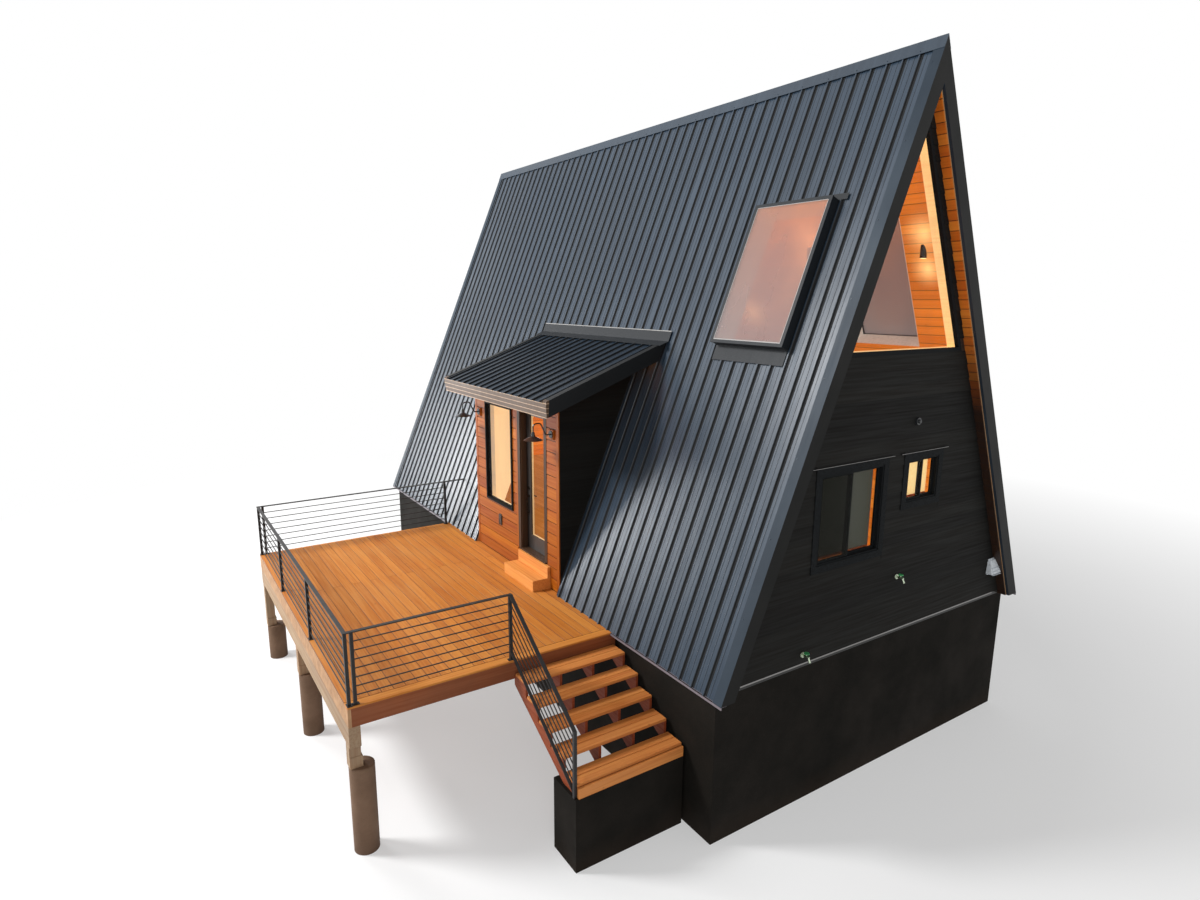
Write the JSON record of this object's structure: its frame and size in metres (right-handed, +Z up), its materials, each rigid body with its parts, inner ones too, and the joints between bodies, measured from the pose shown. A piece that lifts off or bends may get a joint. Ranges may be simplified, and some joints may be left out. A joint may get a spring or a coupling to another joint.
{
  "type": "a-frame cabin",
  "caption": "A-frame cabin with ribbed metal roof, shed-roofed side entry with an opening door, raised deck on piers, railings and stair.",
  "frame": {"origin": "on the lowest ground level, under the middle of the whole footprint, deck included", "axes": "+Z up; the front gable with the triangular window faces -Y; the deck and the entry are on the -X side"},
  "size_m": [10.03, 12.19, 9.7357],
  "materials": {
    "roof_metal": "satin ribbed sheet",
    "black_trim": "satin",
    "black_siding": "stained boards",
    "foundation": "dark coated concrete",
    "pine_lining": "clear finished boards",
    "cedar": "lapped boards",
    "framing": "rough",
    "floor_wood": "satin",
    "deck_wood": "stained boards",
    "beam_wood": "weathered",
    "concrete": "cast",
    "glass": "clear",
    "rail_metal": "powder coat",
    "lamp_metal": "satin",
    "door_black": "satin",
    "handle_metal": "dark bronze"
  },
  "bodies": {
    "cabin": {"barn_lights": "lamp_metal", "cheek_back": "black_siding", "cheek_front": "black_siding", "deck_beam": "beam_wood", "deck_frame": "deck_wood", "deck_piers": "concrete", "deck_posts": "beam_wood", "deck_surface": "deck_wood", "door_frame": "door_black", "door_hinges": "handle_metal", "entry_steps": "cedar", "entry_wall_base": "cedar", "entry_wall_beside_door": "cedar", "entry_wall_head": "cedar", "entry_wall_window_side": "cedar", "entry_window_frame": "black_trim", "entry_window_glass": "glass", "foundation_back": "foundation", "foundation_front": "foundation", "foundation_left": "foundation", "foundation_right": "foundation", "gable_wall_back": "black_siding", "gable_wall_front": "black_siding", "ground_floor": "floor_wood", "lamp_blocks": "cedar", "lining_left": "pine_lining", "lining_right": "pine_lining", "loft_floor": "floor_wood", "porch_fascia": "black_trim", "porch_flashing": "roof_metal", "porch_roof": "framing", "porch_roofing": "roof_metal", "rail_back": "rail_metal", "rail_front": "rail_metal", "rail_left": "rail_metal", "rail_stair": "rail_metal", "rake_back_left": "black_trim", "rake_back_right": "black_trim", "rake_front_left": "black_trim", "rake_front_right": "black_trim", "ridge_cap": "roof_metal", "roof_left_back": "framing", "roof_left_front": "framing", "roof_left_over_entry": "framing", "roof_right": "framing", "roofing_left": "roof_metal", "roofing_right": "roof_metal", "skylight_curb": "black_trim", "skylight_glass": "glass", "stair_footing": "concrete", "stair_riser": "deck_wood", "stair_stringers": "deck_wood", "stair_treads": "deck_wood", "window_frames_back": "black_trim", "window_frames_front": "black_trim", "window_glass_back": "glass", "window_glass_front": "glass"},
    "door": {"door_leaf": "door_black", "door_glass": "glass", "door_handle": "handle_metal"}
  },
  "joints": [
    {"name": "door_hinge", "type": "hinge", "parent": "cabin", "child": "door", "pos_m": [-1.107, -1.703, 2.4], "axis": [0, 0, -1], "range_deg": [0, 95]}
  ]
}
